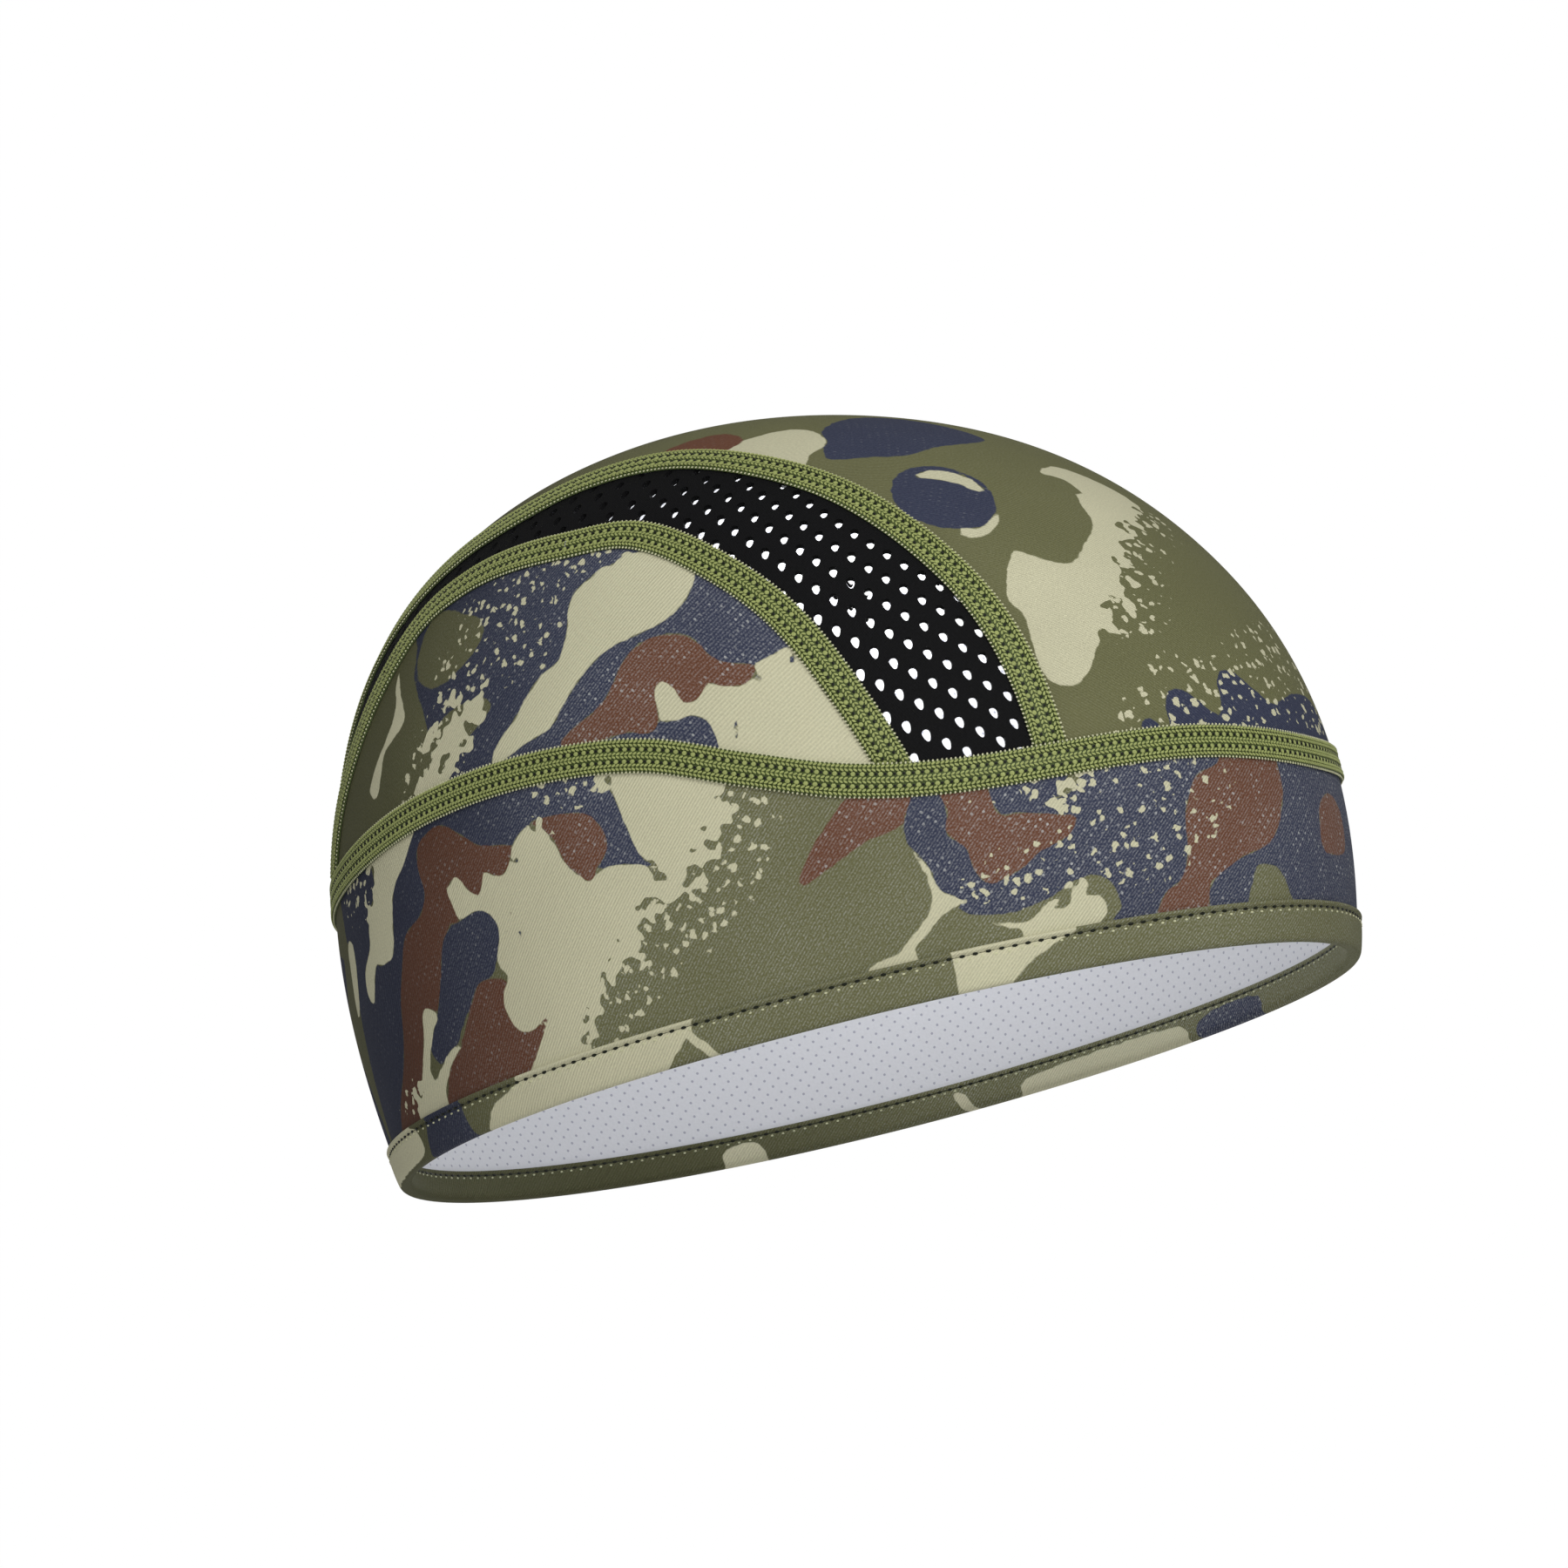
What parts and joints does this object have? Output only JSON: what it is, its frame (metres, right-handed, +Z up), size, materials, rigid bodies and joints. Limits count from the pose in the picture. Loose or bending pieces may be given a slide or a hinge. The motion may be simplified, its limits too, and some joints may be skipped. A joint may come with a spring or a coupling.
{
  "type": "cycling skull cap",
  "caption": "Close-fitting peakless cap sewn from printed stretch panels, with open mesh strips over the temples, flat seams and a bound rim, hollow below for the head.",
  "frame": {"origin": "inside of the crown at its highest point, where the top of the head bears", "axes": "+Z up with the head upright, -Y towards the forehead, -X towards the wearer's right"},
  "size_m": [0.1574, 0.1998, 0.1449],
  "materials": {
    "printed_knit": "printed stretch knit, olive, navy, brown and cream, matt",
    "black_mesh": "black knitted mesh with small open holes",
    "rim_binding": "printed knit strip, folded and coverstitched",
    "seam_thread": "green polyester thread, flat-lock stitched"
  },
  "bodies": {
    "root": {"lower_band": "printed_knit", "edge_binding": "rim_binding", "centre_panel": "printed_knit", "side_panel_right": "printed_knit", "side_panel_left": "printed_knit", "mesh_panel_right": "black_mesh", "mesh_panel_left": "black_mesh", "band_seam": "seam_thread", "inner_mesh_seam_right": "seam_thread", "inner_mesh_seam_left": "seam_thread", "outer_mesh_seam_right": "seam_thread", "outer_mesh_seam_left": "seam_thread"}
  },
  "joints": []
}
